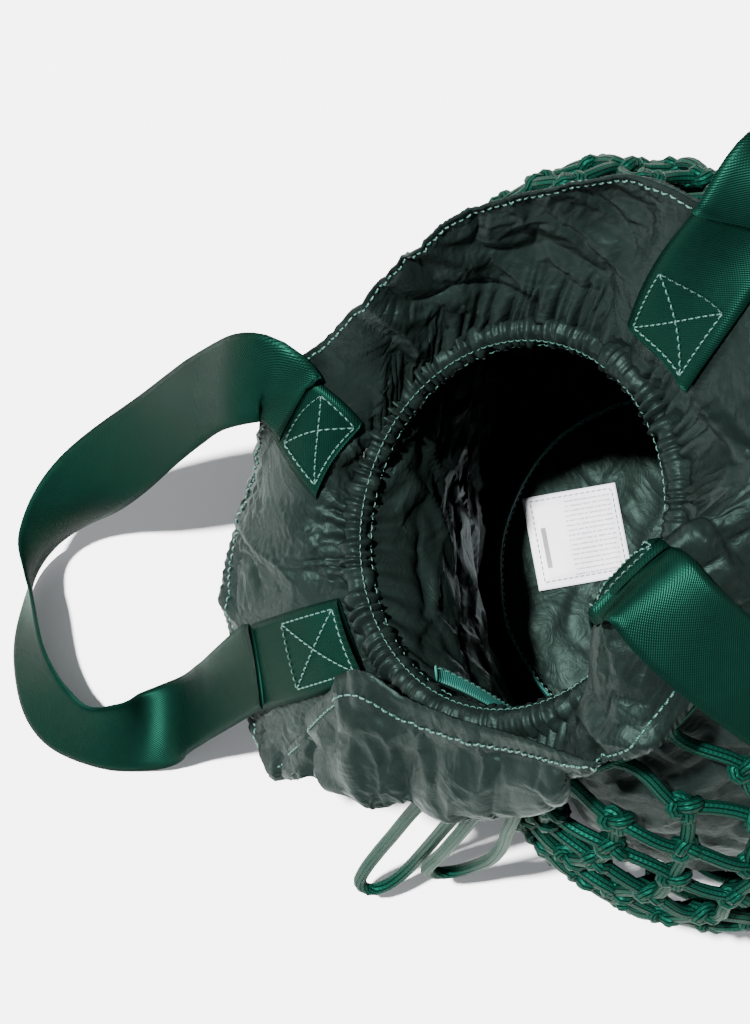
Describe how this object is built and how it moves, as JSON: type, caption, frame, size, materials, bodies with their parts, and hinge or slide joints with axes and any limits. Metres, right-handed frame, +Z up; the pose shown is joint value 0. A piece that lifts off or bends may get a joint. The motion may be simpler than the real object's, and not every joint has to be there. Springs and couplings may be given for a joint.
{
  "type": "netted drawstring carry bag",
  "caption": "Soft drawstring bag of thin cloth inside a knotted cord net, with a flopped open collar, slack drawcord loops and two swinging webbing handles.",
  "frame": {"origin": "centre of the base panel's underside, on the surface the bag stands on", "axes": "+Z up, the mouth leans towards -X, the long way of the slumped body lies along Y"},
  "size_m": [0.5037, 0.3567, 0.3472],
  "materials": {
    "shell_fabric": "thin crinkled nylon cloth with a dull sheen",
    "webbing": "tight twill webbing with a satin sheen",
    "cord": "round braided cord",
    "binding_tape": "ribbed grosgrain tape",
    "label": "white woven tape"
  },
  "bodies": {
    "bag": {"base_panel": "shell_fabric", "base_binding": "binding_tape", "wall_left": "shell_fabric", "wall_right": "shell_fabric", "seam_binding_front": "binding_tape", "seam_binding_back": "binding_tape", "care_label": "label", "neck_channel": "shell_fabric", "drawcord": "cord", "drawcord_loop_1": "cord", "drawcord_loop_2": "cord", "collar_left": "shell_fabric", "collar_right": "shell_fabric", "handle_left_tabs": "webbing", "handle_right_tabs": "webbing", "net_base_ring": "cord", "net_top_ring": "cord", "net_knots_1": "cord", "net_knots_2": "cord", "net_knots_3": "cord", "net_knots_4": "cord", "net_knots_5": "cord", "net_knots_6": "cord", "net_knots_7": "cord", "net_knots_8": "cord", "net_knots_9": "cord", "net_knots_10": "cord", "net_knots_11": "cord", "net_cords_1": "cord", "net_cords_2": "cord", "net_cords_3": "cord", "net_cords_4": "cord", "net_cords_5": "cord", "net_cords_6": "cord", "net_cords_7": "cord", "net_cords_8": "cord", "net_cords_9": "cord", "net_cords_10": "cord", "net_cords_11": "cord", "net_cords_12": "cord"},
    "handle_left": {"handle_left": "webbing"},
    "handle_right": {"handle_right": "webbing"}
  },
  "joints": [
    {"name": "handle_left_swing", "type": "hinge", "parent": "bag", "child": "handle_left", "pos_m": [-0.197, 0.063, 0.202], "axis": [0.1279, 0.6769, 0.7249], "range_deg": [0, 70]},
    {"name": "handle_right_swing", "type": "hinge", "parent": "bag", "child": "handle_right", "pos_m": [-0.05, -0.054, 0.331], "axis": [-0.3054, -0.948, -0.0891], "range_deg": [0, 110]}
  ]
}
